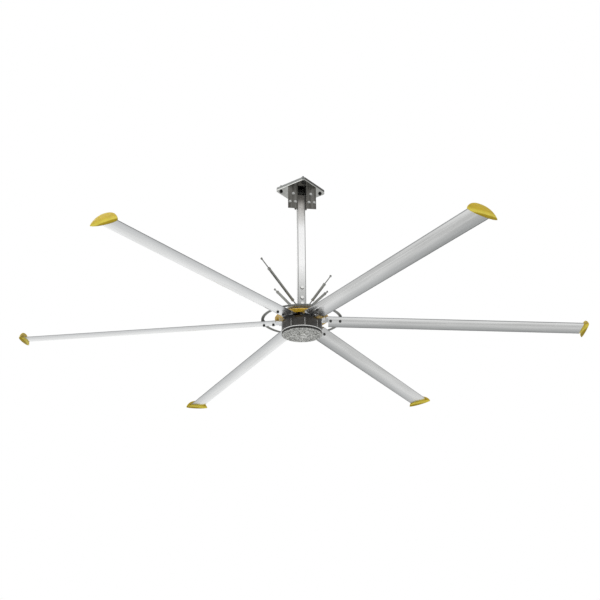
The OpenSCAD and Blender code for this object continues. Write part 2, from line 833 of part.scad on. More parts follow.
// Flat hoop over the blades, on a bush at each outer blade bolt
module safety_ring() {
    color(dark_steel) difference() {
        union() {
            at_root() tube_part(ring_r, ring_r - ring_w, ring_low, ring_top);
            intersection() {
                at_root() tube_part(ring_r, ring_r - ring_w, -20, ring_low + eps);
                for (i = [0:blades - 1]) hub_frame(i) blade_turn()
                    translate([bolt_out, arm_y, blade_thick / 2 + 0.6]) cylinder(r = 12, h = 20, $fn = 48);
            }
        }
        for (i = [0:blades - 1]) hub_frame(i) blade_turn() translate([bolt_out, arm_y, 0])
            cylinder(r = M12[0] + 1, h = 60, $fn = 32);
    }
}

// Winglets

// Side view of a winglet's shell: down from the blade's end, round and up to its crest
wing_base = [3, -7];
wing_low = [14, -56];
wing_out = [64, -52];
wing_crest = [20, 47];
wing_tip = [30, -26];
wing_half = 124;
wing_wall = 4;
wing_steps = 20;
rise_steps = 10;
function bezier(t) = let (u = 1 - t) u * u * u * wing_base + 3 * u * u * t * wing_low
    + 3 * u * t * t * wing_out + t * t * t * wing_crest;
function bezier_dir(t) = let (u = 1 - t, d = u * u * (wing_low - wing_base)
    + 2 * u * t * (wing_out - wing_low) + t * t * (wing_crest - wing_out)) d / norm(d);
// Shrink of the side view towards each tip of the winglet
function wing_scale(y) = pow(1 - pow(abs(y) / wing_half, 2.4), 0.7) * 0.98 + 0.02;
function wing_point(t, y, off) = let (p = bezier(t), d = bezier_dir(t),
    q = wing_tip + wing_scale(y) * (p - wing_tip) + off * [d[1], -d[0]]) [q[0], y, q[1]];
wing_ys = [for (k = [0:wing_steps]) wing_half * sin(-88 + 176 * k / wing_steps)];
wing_ring = 2 * (rise_steps + 1);
wing_points = [for (y = wing_ys) each concat(
    [for (j = [0:rise_steps]) wing_point(j / rise_steps, y, wing_wall / 2)],
    [for (j = [rise_steps:-1:0]) wing_point(j / rise_steps, y, -wing_wall / 2)])];
wing_faces = concat(
    [[for (j = [wing_ring - 1:-1:0]) j]],
    [[for (j = [0:wing_ring - 1]) wing_steps * wing_ring + j]],
    [for (k = [0:wing_steps - 1], j = [0:wing_ring - 1]) let (n = (j + 1) % wing_ring)
        each [[k * wing_ring + j, k * wing_ring + n, (k + 1) * wing_ring + n],
              [k * wing_ring + j, (k + 1) * wing_ring + n, (k + 1) * wing_ring + j]]]);
cap_t = 5;
plug_len = 60;

module winglet(i) {
    color(yellow) hub_frame(i) blade_turn() {
        along_blade(blade_reach, cap_t) polygon(blade_outline);
        translate([blade_reach - plug_len, arm_y - spar_w / 2, -spar_t / 2])
            cube([plug_len + 1, spar_w, spar_t]);
        translate([blade_reach, 0, 0]) polyhedron(wing_points, wing_faces, convexity = 6);
    }
}

ceiling_plate();
hanger_plate();
ceiling_studs();
hanger_angle(-1);  // hanger_angle_left
hanger_angle(1);  // hanger_angle_right
hanger_bolts();
cross_bolts();
downrod();
mast_base();
sleeve_bolts();
stay_lugs();
stay_pins();
motor_shaft();
flange_bolts();
stator_core();
windings();
bearing_inner_races();
shaft_nut();
motor_housing();
upper_end_shield();
bottom_cover();
trim_ring();
cover_gasket();
tie_bolts();
magnets();
bearing_outer_races();
bearing_balls();
shaft_seal();
hub_disc();
hub_bolts();
blade_bolts();
safety_ring();
for (i = [1:blades]) blade_arm(i - 1);
for (i = [1:blades]) blade(i - 1);
for (i = [1:blades]) winglet(i - 1);
for (k = [1:stays]) turnbuckle(k - 1);
for (k = [1:stays]) eye_bolts(k - 1);
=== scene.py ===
# %% [markdown]
# # An industrial ceiling fan
# Six long hollow blades turn slowly on a flat motor, and a square tube hangs the
# motor from a plate on the ceiling. The solids come ready made from the CAD model,
# in metres, with the origin in the middle of the plate's top face and Z up.
# This lesson gives every piece its finish, adds the small worked details that a
# solid leaves out, and sets up the camera and the light.

# %% Load the solids
import json
import math

import bmesh
import bpy
from mathutils import Matrix, Vector


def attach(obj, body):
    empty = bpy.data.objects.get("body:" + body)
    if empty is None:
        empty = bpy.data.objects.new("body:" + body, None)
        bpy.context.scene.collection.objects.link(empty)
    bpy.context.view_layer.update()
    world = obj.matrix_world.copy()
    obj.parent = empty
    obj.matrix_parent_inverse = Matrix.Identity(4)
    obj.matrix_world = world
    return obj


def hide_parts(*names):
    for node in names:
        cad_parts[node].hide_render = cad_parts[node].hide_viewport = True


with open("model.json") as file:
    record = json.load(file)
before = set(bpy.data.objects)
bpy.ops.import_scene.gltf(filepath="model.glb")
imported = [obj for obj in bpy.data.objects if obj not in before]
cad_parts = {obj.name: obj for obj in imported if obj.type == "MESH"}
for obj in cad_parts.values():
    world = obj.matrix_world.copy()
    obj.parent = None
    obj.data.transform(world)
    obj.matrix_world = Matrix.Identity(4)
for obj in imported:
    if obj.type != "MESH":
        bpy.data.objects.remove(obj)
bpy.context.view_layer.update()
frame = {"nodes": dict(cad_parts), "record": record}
nodes = frame["nodes"]

# %% [markdown]
# The blades leave the hub every 60 degrees, and the first one rests at 36 degrees.
# The finish that follows a blade's length is turned by the same angles. The mean
# point of each end piece, far out on its blade, shows that they agree.

# %% The blades' directions
BLADES, FIRST_BLADE = 6, 36
blade_angles = [math.radians(FIRST_BLADE + i * 360 / BLADES) for i in range(BLADES)]


def middle_of(name):
    points = [v.co for v in nodes[name].data.vertices]
    return sum(points, Vector()) / len(points)


def direction_of(name):
    middle = middle_of(name)
    return round(math.degrees(math.atan2(middle.y, middle.x))) % 360


print("set:", [round(math.degrees(a)) for a in blade_angles],
      "found:", [direction_of(f"winglet_{i + 1}") for i in range(BLADES)])

# %% [markdown]
# ## The camera
# The picture looks up at the fan from below and in front, with a lens of about 50 mm.
# A camera is a place and three directions: right, up and back. Writing those
# directions into a matrix says exactly where it looks, with no constraint to solve.
# Its angles are in degrees, its place is in metres, and its lens and sensor are in
# millimetres.

# %% Set the camera
CAMERA_PLACE = (4.3156, -5.6241, -4.221)
HEADING, PITCH, ROLL = 127.62, 23.46, -0.53
LENS, SENSOR, FARTHEST = 51.64, 36, 200


def place_camera(place, heading, pitch, roll, lens):
    ahead = Vector((math.cos(heading) * math.cos(pitch), math.sin(heading) * math.cos(pitch),
                    math.sin(pitch)))
    right = ahead.cross(Vector((0, 0, 1))).normalized()
    up = right.cross(ahead)
    turned_right = right * math.cos(roll) + up * math.sin(roll)
    turned_up = up * math.cos(roll) - right * math.sin(roll)
    camera = bpy.data.objects.new("camera", bpy.data.cameras.new("camera"))
    bpy.context.scene.collection.objects.link(camera)
    axes = Matrix((turned_right, turned_up, -ahead)).transposed()
    camera.matrix_world = Matrix.Translation(place) @ axes.to_4x4()
    camera.data.lens = lens
    camera.data.sensor_width = SENSOR
    camera.data.clip_end = FARTHEST
    bpy.context.scene.camera = camera
    return camera


camera = place_camera(CAMERA_PLACE, *(math.radians(a) for a in (HEADING, PITCH, ROLL)), LENS)
print("camera stands", round(camera.location.length, 2), "m from the ceiling plate")

# %% [markdown]
# ## Helpers
# Colours are written as the hex values that a painter's chart or a picture gives,
# which are sRGB. Blender's shaders want linear light, so one function converts them.
# Another adds a shader node with its settings and its links in one line. A finish
# starts from the Principled shader and plugs a colour and a roughness into it.

# %% Colour and node helpers
def linear(hex_colour):
    parts = [int(hex_colour[i:i + 2], 16) / 255 for i in (1, 3, 5)]
    return tuple(p / 12.92 if p <= 0.04045 else ((p + 0.055) / 1.055) ** 2.4
                 for p in parts) + (1.0,)


def add(tree, kind, inputs=None, **settings):
    made = tree.nodes.new(kind)
    for name, value in settings.items():
        setattr(made, name, value)
    for name, value in (inputs or {}).items():
        if isinstance(value, bpy.types.NodeSocket):
            tree.links.new(value, made.inputs[name])
        else:
            made.inputs[name].default_value = value
    return made


def new_finish(name, metallic, roughness, **sockets):
    material = bpy.data.materials.new(name)
    material.use_nodes = True
    tree = material.node_tree
    shader = tree.nodes["Principled BSDF"]
    shader.inputs["Metallic"].default_value = metallic
    shader.inputs["Roughness"].default_value = roughness
    for socket, value in sockets.items():
        shader.inputs[socket.replace("_", " ")].default_value = value
    return material, tree, shader


def plug_in(tree, shader, colour, roughness=None):
    tree.links.new(colour, shader.inputs["Base Color"])
    if roughness:
        tree.links.new(roughness, shader.inputs["Roughness"])


print("mid grey #808080 is", round(linear("#808080")[0], 3), "in linear light")

# %% [markdown]
# A pattern needs a size. Object coordinates are metres here, so a Mapping node of the
# Texture kind, whose scale is a real length, makes one unit of a texture equal to
# that length. Its rotation turns the pattern to lie along a piece. Where a finish
# changes with height or with the distance from the fan's axis, the same coordinates
# give the mask.

# %% Patterns with real sizes
MM = 0.001


def object_place(tree):
    return add(tree, "ShaderNodeTexCoord").outputs["Object"]


def along_axis(tree, place, axis):
    return add(tree, "ShaderNodeSeparateXYZ", {0: place}).outputs[axis]


def object_height(tree):
    return along_axis(tree, object_place(tree), "Z")


def distance(tree, place):
    return add(tree, "ShaderNodeVectorMath", {0: place}, operation="LENGTH").outputs["Value"]


def axis_distance(tree):
    flat = add(tree, "ShaderNodeVectorMath", {0: object_place(tree), 1: (1, 1, 0)},
               operation="MULTIPLY")
    return distance(tree, flat.outputs[0])


def maths(tree, operation, *values):
    return add(tree, "ShaderNodeMath", dict(enumerate(values)), operation=operation).outputs[0]


def sized_coordinates(tree, size_mm, turn=0.0):
    lengths = size_mm if isinstance(size_mm, tuple) else (size_mm,) * 3
    return add(tree, "ShaderNodeMapping", {
        "Vector": object_place(tree), "Rotation": (0, 0, turn),
        "Scale": tuple(s * MM for s in lengths)}, vector_type="TEXTURE").outputs["Vector"]


def speckle(tree, size_mm, turn=0.0, detail=3.0):
    return add(tree, "ShaderNodeTexNoise", {
        "Vector": sized_coordinates(tree, size_mm, turn), "Scale": 1.0,
        "Detail": detail}).outputs["Fac"]


def colour_bands(tree, mask, bands):
    ramp = add(tree, "ShaderNodeValToRGB", {"Fac": mask})
    while len(ramp.color_ramp.elements) < len(bands):
        ramp.color_ramp.elements.new(0.5)
    for element, (place, colour) in zip(ramp.color_ramp.elements, bands):
        element.position = place
        element.color = linear(colour)
    return ramp.outputs["Color"]


def colour_between(tree, mask, low, high, start=0.3, end=0.7):
    return colour_bands(tree, mask, [(start, low), (end, high)])


def value_between(tree, mask, low, high, start=0.3, end=0.7):
    return add(tree, "ShaderNodeMapRange", {
        "Value": mask, "From Min": start, "From Max": end, "To Min": low,
        "To Max": high}).outputs["Result"]


def tinted(tree, colour, mask, shade):
    mix = add(tree, "ShaderNodeMix", {"Factor": mask}, data_type="RGBA", blend_type="MIX")
    tree.links.new(colour, mix.inputs[6])
    mix.inputs[7].default_value = linear(shade)
    return mix.outputs[2]


def multiplied(tree, colour, other):
    mix = add(tree, "ShaderNodeMix", {"Factor": 1.0}, data_type="RGBA", blend_type="MULTIPLY")
    tree.links.new(colour, mix.inputs[6])
    tree.links.new(other, mix.inputs[7])
    return mix.outputs[2]


def dents(tree, shader, height, depth_mm, strength):
    bump = add(tree, "ShaderNodeBump", {
        "Height": height, "Distance": depth_mm * MM, "Strength": strength})
    tree.links.new(bump.outputs["Normal"], shader.inputs["Normal"])


print("a 25 mm pattern repeats", round(1 / (25 * MM)), "times in a metre")

# %% [markdown]
# ## Extruded aluminium
# A blade is pressed out through a die like dough, and then brightened in a bath. Its colour
# carries a painted reflection: it is painted brightest at the front and greyer towards the back,
# and darker in thin bands along both edges. Each blade lies another way, so each has a material
# of its own, whose pattern is turned with it.

# %% Extruded aluminium for the blades
BLADE_WIDTH_MM = 178
# painted reflection across the blade, brightest at the front and greyer at the back, with darker
# thin bands at both edges
PAINTED_REFLECTION_AND_DARK_EDGES = [(0.0, "#7E8081"), (0.03, "#F2F3F3"), (0.45, "#EAEBEB"), (0.72, "#D2D4D5"),
                 (0.94, "#B9BBBC"), (0.975, "#77797A")]


def across_blade(tree, turn):
    side = along_axis(tree, sized_coordinates(tree, BLADE_WIDTH_MM, turn), "Y")
    return value_between(tree, side, 0.0, 1.0, -0.5, 0.5)


def extruded_aluminium(name, turn):
    material, tree, shader = new_finish(name, metallic=1.0, roughness=0.2)
    lines = speckle(tree, size_mm=(1600, 24, 24), turn=turn)
    clouds = speckle(tree, size_mm=(500, 90, 90), turn=turn)
    # painted reflection: brighter at the front, greyer at the back, darker in thin bands along
    # both edges
    colour = colour_bands(tree, across_blade(tree, turn), PAINTED_REFLECTION_AND_DARK_EDGES)
    colour = multiplied(tree, colour, colour_between(tree, lines, "#F2F2F2", "#FFFFFF"))
    colour = multiplied(tree, colour, colour_between(tree, clouds, "#F4F4F4", "#FFFFFF"))
    plug_in(tree, shader, colour, value_between(tree, lines, 0.17, 0.25))
    return material


blade_finishes = [extruded_aluminium(f"extruded_aluminium_{i + 1}", a)
                  for i, a in enumerate(blade_angles)]
print(len(blade_finishes), "blade finishes")

# %% [markdown]
# The arms inside the blades are machined from thick bar. A milling cutter leaves a
# finer, brighter face than the die does.

# %% Machined aluminium for the arms
def machined_aluminium(name, turn):
    material, tree, shader = new_finish(name, metallic=1.0, roughness=0.14)
    marks = speckle(tree, size_mm=(60, 5, 60), turn=turn)
    plug_in(tree, shader, colour_between(tree, marks, "#BEC0C2", "#D0D2D3"),
            value_between(tree, marks, 0.1, 0.2))
    return material


arm_finishes = [machined_aluminium(f"machined_aluminium_{i + 1}", a)
                for i, a in enumerate(blade_angles)]
print(len(arm_finishes), "arm finishes")

# %% [markdown]
# ## Powder coat
# Yellow, black, grey and pale pieces are powder coated: dry paint baked into a
# smooth skin with a faint orange peel. A clear coat on the shader gives the skin its
# second, sharper highlight, and noise a few millimetres wide gives the peel.

# %% Powder coats
PEEL_MM, CLOUD_MM = 4, 90


def powder_coat(name, dull, bright, roughness, coat=0.3):
    material, tree, shader = new_finish(name, metallic=0.0, roughness=roughness, Coat_Weight=coat,
                                        Coat_Roughness=0.15)
    clouds = speckle(tree, CLOUD_MM)
    plug_in(tree, shader, colour_between(tree, clouds, dull, bright),
            value_between(tree, clouds, roughness - 0.05, roughness + 0.07))
    dents(tree, shader, speckle(tree, PEEL_MM, detail=1.0), depth_mm=0.15, strength=0.35)
    return material


black = powder_coat("black_powder_coat", "#211E1A", "#2C2823", roughness=0.42, coat=0.12)
pale = powder_coat("pale_grey_powder_coat", "#DCDDDB", "#E8E8E6", roughness=0.38)
grey = powder_coat("mid_grey_powder_coat", "#62635F", "#777873", roughness=0.4, coat=0.15)
ash = powder_coat("ash_grey_powder_coat", "#8B8C89", "#9B9C98", roughness=0.42, coat=0.15)
stone = powder_coat("stone_grey_powder_coat", "#6F706B", "#82837E", roughness=0.4, coat=0.15)
print("powder coats:", [m.name for m in (black, pale, grey, ash, stone)])

# %% [markdown]
# The hub disc is sprayed golden yellow. The middle of its underside, over the motor, lies in
# shadow, and that shadow is painted on in dark brown. A mask of the distance from the axis times
# a mask of the height picks that area out.

# %% Golden yellow coat of the hub disc
HUB_Z = -1345 * MM
# painted shadow: inside this radius the disc's underside is painted dark brown
PAINTED_SHADOW_R, DISC_MIDDLE_Z = 168 * MM, HUB_Z + 18 * MM


def disc_coat(name, dull, bright):
    material, tree, shader = new_finish(name, metallic=0.0, roughness=0.36, Coat_Weight=0.3,
                                        Coat_Roughness=0.15)
    inside = value_between(tree, axis_distance(tree), 1.0, 0.0, PAINTED_SHADOW_R - MM, PAINTED_SHADOW_R)
    under = value_between(tree, object_height(tree), 1.0, 0.0, DISC_MIDDLE_Z - MM, DISC_MIDDLE_Z)
    # painted shadow: the middle of the underside, over the motor, is painted dark brown
    painted_shadow = maths(tree, "MULTIPLY", inside, under)
    clouds = speckle(tree, CLOUD_MM)
    colour = tinted(tree, colour_between(tree, clouds, dull, bright), painted_shadow, "#33241A")
    plug_in(tree, shader, colour, value_between(tree, clouds, 0.31, 0.43))
    dents(tree, shader, speckle(tree, PEEL_MM, detail=1.0), depth_mm=0.1, strength=0.2)
    return material


yellow = disc_coat("golden_yellow_powder_coat", "#D6AB2C", "#E0B73C")
print("primer shows inside", round(PAINTED_SHADOW_R, 3), "m")

# %% [markdown]
# The six end pieces are injection moulded in a greener yellow plastic. The steel mould was spark
# eroded, which leaves an even matt grain with no peel. Their colour is painted by height: a paler
# band along the bottom roll is a painted highlight, the darker band under it is painted shade,
# and above the roll the yellow is painted a little lighter upwards. The end pieces all hang at
# one height, so height alone places the bands.

# %% Moulded plastic
# painted highlight and painted shade on the end pieces, placed by height
PAINTED_ROLL_HIGHLIGHT_AND_SHADE = [(-1508, "#A08A18"), (-1499, "#A68F1A"), (-1492, "#DCCB54"), (-1480, "#D4C148"),
              (-1468, "#C9AF33"), (-1440, "#C8AE34"), (-1405, "#D3BD49")]


def moulded_plastic(name):
    material, tree, shader = new_finish(name, metallic=0.0, roughness=0.45,
                                        Specular_IOR_Level=0.15)
    low, high = PAINTED_ROLL_HIGHLIGHT_AND_SHADE[0][0], PAINTED_ROLL_HIGHLIGHT_AND_SHADE[-1][0]
    rise = value_between(tree, object_height(tree), 0.0, 1.0, low * MM, high * MM)
    # painted highlight and painted shade: a pale band on the roll, a dark band under it
    colour = colour_bands(tree, rise, [((z - low) / (high - low), c) for z, c in PAINTED_ROLL_HIGHLIGHT_AND_SHADE])
    flow = speckle(tree, size_mm=60, detail=1.0)
    colour = multiplied(tree, colour, colour_between(tree, flow, "#F0F0EC", "#FFFFFF"))
    plug_in(tree, shader, colour, value_between(tree, flow, 0.4, 0.5))
    dents(tree, shader, speckle(tree, size_mm=1.5, detail=1.0), depth_mm=0.02, strength=0.1)
    return material


lemon = moulded_plastic("yellow_moulded_plastic")
print("the roll's bands reach from", PAINTED_ROLL_HIGHLIGHT_AND_SHADE[0][0], "to", PAINTED_ROLL_HIGHLIGHT_AND_SHADE[-1][0], "mm")

# %% [markdown]
# ## Zinc and bare steel
# The upper plate is dipped in molten zinc, which freezes into flat crystals 20 to 30 mm wide,
# each with its own shade. Voronoi cells are just that: areas round scattered points. Its two
# edges across X are painted dark: painted shade.
# The lower plate is rolled smooth before its zinc, so it mirrors the angles below it.
# Shearing tears the upper half of its edge, which stays duller. Bolts are zinc plated in a bath,
# too thin to show crystals. The three bolts above the motor get a painted highlight on their
# faces and painted shade on their washers and flanks.

# %% Hot dip, rolled and plated zinc
CRYSTAL_MM, STAIN_MM = 26, 14
# beyond this distance along X the upper plate is painted dark as shade
PAINTED_SHADE_EDGE_X, SHEAR_LINE_Z = 168.5 * MM, -26 * MM
BOLT_FACE_MM, QUARTER_SQUARE = -50.5, math.pi / 4


def hot_dip_zinc(name):
    material, tree, shader = new_finish(name, metallic=0.3, roughness=0.55)
    cells = add(tree, "ShaderNodeTexVoronoi", {
        "Vector": sized_coordinates(tree, CRYSTAL_MM), "Scale": 1.0})
    shade = add(tree, "ShaderNodeSeparateColor", {"Color": cells.outputs["Color"]}).outputs[0]
    colour = colour_between(tree, shade, "#6E706E", "#888A88", 0.0, 1.0)
    sideways = maths(tree, "ABSOLUTE", along_axis(tree, object_place(tree), "X"))
    # painted shade: both edges across X are painted dark
    cut = value_between(tree, sideways, 0.0, 1.0, PAINTED_SHADE_EDGE_X - MM, PAINTED_SHADE_EDGE_X)
    plug_in(tree, shader, tinted(tree, colour, cut, "#3E3D3A"),
            value_between(tree, shade, 0.4, 0.6, 0.0, 1.0))
    return material


def rolled_zinc(name):
    material, tree, shader = new_finish(name, metallic=1.0, roughness=0.1)
    clouds = speckle(tree, size_mm=40)
    colour = colour_between(tree, clouds, "#A2A3A0", "#BABBB8")
    sheared = value_between(tree, object_height(tree), 0.0, 1.0, SHEAR_LINE_Z - MM, SHEAR_LINE_Z)
    plug_in(tree, shader, tinted(tree, colour, sheared, "#6F706D"),
            value_between(tree, clouds, 0.07, 0.16))
    return material


def plated_zinc(name, dull, bright, roughness):
    material, tree, shader = new_finish(name, metallic=0.9, roughness=roughness)
    stain = speckle(tree, STAIN_MM)
    plug_in(tree, shader, colour_between(tree, stain, dull, bright),
            value_between(tree, stain, roughness + 0.08, roughness - 0.08))
    dents(tree, shader, speckle(tree, size_mm=2), depth_mm=0.05, strength=0.3)
    return material


def highlight_face_shaded_flank_bolt(name):
    material, tree, shader = new_finish(name, metallic=0.9, roughness=0.34)
    # painted highlight on the bolt faces, painted shade on their flanks and washers
    outwards = along_axis(tree, sized_coordinates(tree, size_mm=1, turn=QUARTER_SQUARE), "Y")
    face = value_between(tree, outwards, 1.0, 0.0, BOLT_FACE_MM + 1, BOLT_FACE_MM + 2)
    painted_shade_flanks = colour_between(tree, speckle(tree, STAIN_MM), "#6C6D6A", "#7E7F7C")
    plug_in(tree, shader, tinted(tree, painted_shade_flanks, face, "#E2E2E0"))
    return material


zinc_plate = hot_dip_zinc("hot_dip_zinc")
mirror_plate = rolled_zinc("rolled_zinc")
bolt_zinc = plated_zinc("plated_zinc", "#6C6C69", "#8A8B88", roughness=0.36)
bright_bolt = plated_zinc("bright_plated_zinc", "#A0A19F", "#BCBDBB", roughness=0.3)
sleeve_bolt = highlight_face_shaded_flank_bolt("highlight_face_shaded_flank_bolt")
black_bolt = plated_zinc("blackened_steel", "#30302F", "#484846", roughness=0.4)
print("zinc and steel:", [m.name for m in (zinc_plate, mirror_plate, bolt_zinc, bright_bolt,
                                           sleeve_bolt, black_bolt)])

# %% [markdown]
# The two angles are cut from dark rolled steel, whose upright rolling streaks show
# through a thin oil film.

# %% Dark rolled steel
ROLLING_STREAK_MM = (14, 14, 260)


def rolled_steel(name):
    material, tree, shader = new_finish(name, metallic=0.75, roughness=0.3)
    streaks = speckle(tree, ROLLING_STREAK_MM)
    plug_in(tree, shader, colour_between(tree, streaks, "#474540", "#72716D", 0.3, 0.72),
            value_between(tree, streaks, 0.22, 0.4))
    return material


dark_steel = rolled_steel("dark_rolled_steel")
print("rolling streaks:", ROLLING_STREAK_MM, "mm")

# %% [markdown]
# The tube has a thin silver coat. Its colour holds painted shade: its middle is the brightest, it
# is painted greyer towards both ends, and greyest at the very top under the ceiling. Its four
# rounded corners are painted as dark lines of shade. The tube stands cornerwise, and a Mapping
# turned by 45 degrees squares it up: on a corner both distances are large.

# %% Silver coat of the tube
CORNER_SHADE_START_MM, CORNER_SHADE_FULL_MM = 28.0, 32.0
TUBE_LOW_Z, TUBE_HIGH_Z = -1.25, -0.09
# painted shade along the tube: brightest in the middle, greyer to both ends, greyest at the top
PAINTED_SHADE_UP_THE_TUBE = [(0.0, "#A8A9A8"), (0.16, "#C2C3C2"), (0.4, "#F6F6F6"), (0.72, "#F2F2F2"),
               (0.8, "#D4D3D1"), (0.93, "#BCB9B5"), (0.985, "#74716C")]
STREAK_SHARE = 0.03


def painted_corner_shade(tree):
    # painted shade: the four rounded corners are painted as dark lines
    where = sized_coordinates(tree, size_mm=1, turn=QUARTER_SQUARE)
    sides = [maths(tree, "ABSOLUTE", along_axis(tree, where, axis)) for axis in "XY"]
    return value_between(tree, maths(tree, "MINIMUM", *sides), 0.0, 1.0, CORNER_SHADE_START_MM, CORNER_SHADE_FULL_MM)


def silver_coat(name):
    material, tree, shader = new_finish(name, metallic=0.6, roughness=0.34)
    streaks = speckle(tree, size_mm=(10, 10, 300))
    along = value_between(tree, object_height(tree), 0.0, 1.0, TUBE_LOW_Z, TUBE_HIGH_Z)
    shade = maths(tree, "MULTIPLY_ADD", streaks, STREAK_SHARE, along)
    # painted shade along the tube's height and on its corners
    colour = tinted(tree, colour_bands(tree, shade, PAINTED_SHADE_UP_THE_TUBE), painted_corner_shade(tree), "#8E8F8E")
    plug_in(tree, shader, colour, value_between(tree, streaks, 0.28, 0.4))
    return material


tube_silver = silver_coat("silver_coat")
print("the silver coat changes over", round(TUBE_HIGH_Z - TUBE_LOW_Z, 2), "m")

# %% [markdown]
# ## Cast aluminium
# The motor's bottom cover is die cast and shot blasted. The shot leaves light and dark flecks
# about 14 mm wide. Its rim is coloured black, and it is lighter in the middle round the boss.

# %% Cast aluminium
FLECK_MM = 14
BOSS_R, FIELD_R, RIM_R = 30 * MM, 90 * MM, 177.4 * MM


def cast_aluminium(name):
    material, tree, shader = new_finish(name, metallic=0.45, roughness=0.42)
    flecks = speckle(tree, FLECK_MM)
    radius = axis_distance(tree)
    colour = colour_between(tree, flecks, "#6A6B68", "#F4F5F1", 0.36, 0.64)
    outside = value_between(tree, radius, 0.0, 1.0, BOSS_R, FIELD_R)
    shade = colour_between(tree, outside, "#FFFFFF", "#E4E4E4", 0, 1)
    rim = value_between(tree, radius, 0.0, 1.0, RIM_R, RIM_R + MM)
    colour = tinted(tree, multiplied(tree, colour, shade), rim, "#262421")
    plug_in(tree, shader, colour, value_between(tree, flecks, 0.5, 0.34))
    dents(tree, shader, flecks, depth_mm=0.5, strength=0.4)
    return material


cover_cast = cast_aluminium("cast_aluminium")
print("the cover is black outside", round(RIM_R, 4), "m")

# %% [markdown]
# ## Inside the motor
# Nothing inside shows while the motor is shut, but each piece still gets what it is
# made of: turned steel, enamelled copper wire, plated magnets and rubber.

# %% Finishes of the inner pieces
def turned_steel(name):
    material, tree, shader = new_finish(name, metallic=1.0, roughness=0.3)
    rings = speckle(tree, size_mm=(30, 30, 1.5))
    plug_in(tree, shader, colour_between(tree, rings, "#8D8F91", "#A9ABAD"))
    dents(tree, shader, rings, depth_mm=0.03, strength=0.4)
    return material


def copper_wire(name):
    material, tree, shader = new_finish(name, metallic=0.9, roughness=0.35, Coat_Weight=0.6)
    turns = add(tree, "ShaderNodeTexWave", {
        "Vector": sized_coordinates(tree, size_mm=1.6), "Scale": 0.5, "Distortion": 0.4},
        bands_direction="Z").outputs["Fac"]
    plug_in(tree, shader, colour_between(tree, turns, "#7A3F1D", "#C77A45"))
    dents(tree, shader, turns, depth_mm=0.5, strength=0.6)
    return material


def soft_rubber(name):
    material, tree, shader = new_finish(name, metallic=0.0, roughness=0.62)
    grain = speckle(tree, size_mm=3)
    plug_in(tree, shader, colour_between(tree, grain, "#141414", "#1E1E1D"))
    dents(tree, shader, grain, depth_mm=0.1, strength=0.4)
    return material


steel = turned_steel("turned_steel")
copper = copper_wire("enamelled_copper_wire")
rubber = soft_rubber("black_rubber")
magnet = plated_zinc("nickel_plated_magnet", "#6F7073", "#8B8C8F", roughness=0.3)
print("inner finishes:", [m.name for m in (steel, copper, rubber, magnet)])

# %% [markdown]
# ## Dress the solids
# A solid keeps its mesh and gets its finish in its object's material slots. The
# table below reads as a parts list.

# %% Give each solid its finish
finish_of = {
    "ceiling_plate": zinc_plate, "hanger_plate": mirror_plate, "ceiling_studs": black_bolt,
    "hanger_angle_left": dark_steel, "hanger_angle_right": dark_steel,
    "hanger_bolts": bright_bolt, "cross_bolts": bolt_zinc, "downrod": tube_silver,
    "mast_base": ash, "sleeve_bolts": sleeve_bolt, "stay_lugs": grey, "stay_pins": bolt_zinc,
    "motor_shaft": steel, "flange_bolts": black_bolt, "stator_core": steel,
    "windings": copper, "bearing_inner_races": steel, "shaft_nut": bolt_zinc,
    "motor_housing": black, "upper_end_shield": black, "bottom_cover": cover_cast,
    "trim_ring": pale, "cover_gasket": rubber, "tie_bolts": cover_cast, "magnets": magnet,
    "bearing_outer_races": steel, "bearing_balls": steel, "shaft_seal": rubber,
    "hub_disc": yellow, "hub_bolts": black_bolt, "blade_bolts": black_bolt,
    "safety_ring": grey}
STAYS = 4
for i in range(BLADES):
    finish_of[f"blade_arm_{i + 1}"] = arm_finishes[i]
    finish_of[f"blade_{i + 1}"] = blade_finishes[i]
    finish_of[f"winglet_{i + 1}"] = lemon
for i in range(STAYS):
    finish_of[f"turnbuckle_{i + 1}"] = stone
    finish_of[f"eye_bolts_{i + 1}"] = bolt_zinc


def dress(piece, material):
    if not piece.data.materials:
        piece.data.materials.append(material)
    for slot in piece.material_slots:
        slot.link = "OBJECT"
        slot.material = material


for name, material in finish_of.items():
    dress(nodes[name], material)
print("solids without a finish:", sorted(set(nodes) - set(finish_of)))

# %% [markdown]
# ## Round pieces that shine round
# A CAD solid arrives as loose flat triangles, so a round nose shows its facets in a
# reflection. Each round piece gets a stand-in of the same shape: a copy whose points
# are merged, with every face smooth and only the real edges, where two faces meet at
# more than 28 degrees, kept sharp.

# %% Smooth copies of the round solids
body_of = {name: body for body, members in frame["record"]["behaviour"]["bodies"].items()
           for name in members}
SHARP, SAME_POINT = math.radians(28), 0.005 * MM


def merged_copy(name):
    shape = bmesh.new()
    shape.from_mesh(nodes[name].data)
    bmesh.ops.remove_doubles(shape, verts=shape.verts, dist=SAME_POINT)
    return shape


def place_shape(shape, name, material, body, replaced=()):
    for face in shape.faces:
        face.smooth = True
    for edge in shape.edges:
        edge.smooth = edge.is_manifold and edge.calc_face_angle(0.0) < SHARP
    mesh = bpy.data.meshes.new(name)
    shape.to_mesh(mesh)
    shape.free()
    mesh.materials.append(material)
    piece = bpy.data.objects.new(name, mesh)
    bpy.context.scene.collection.objects.link(piece)
    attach(piece, body)
    if replaced:
        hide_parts(*replaced)


def smooth_stand_in(name):
    place_shape(merged_copy(name), f"smooth_{name}", finish_of[name], body_of[name],
                [name])


round_solids = ["motor_housing", "trim_ring", "bottom_cover", "cover_gasket", "hub_disc",
                "mast_base", "safety_ring", "downrod"]
round_solids += [f"winglet_{i + 1}" for i in range(BLADES)]
round_solids += [f"{kind}_{i + 1}" for kind in ("turnbuckle", "eye_bolts") for i in range(STAYS)]
for name in round_solids:
    smooth_stand_in(name)
print(len(round_solids), "round solids smoothed")

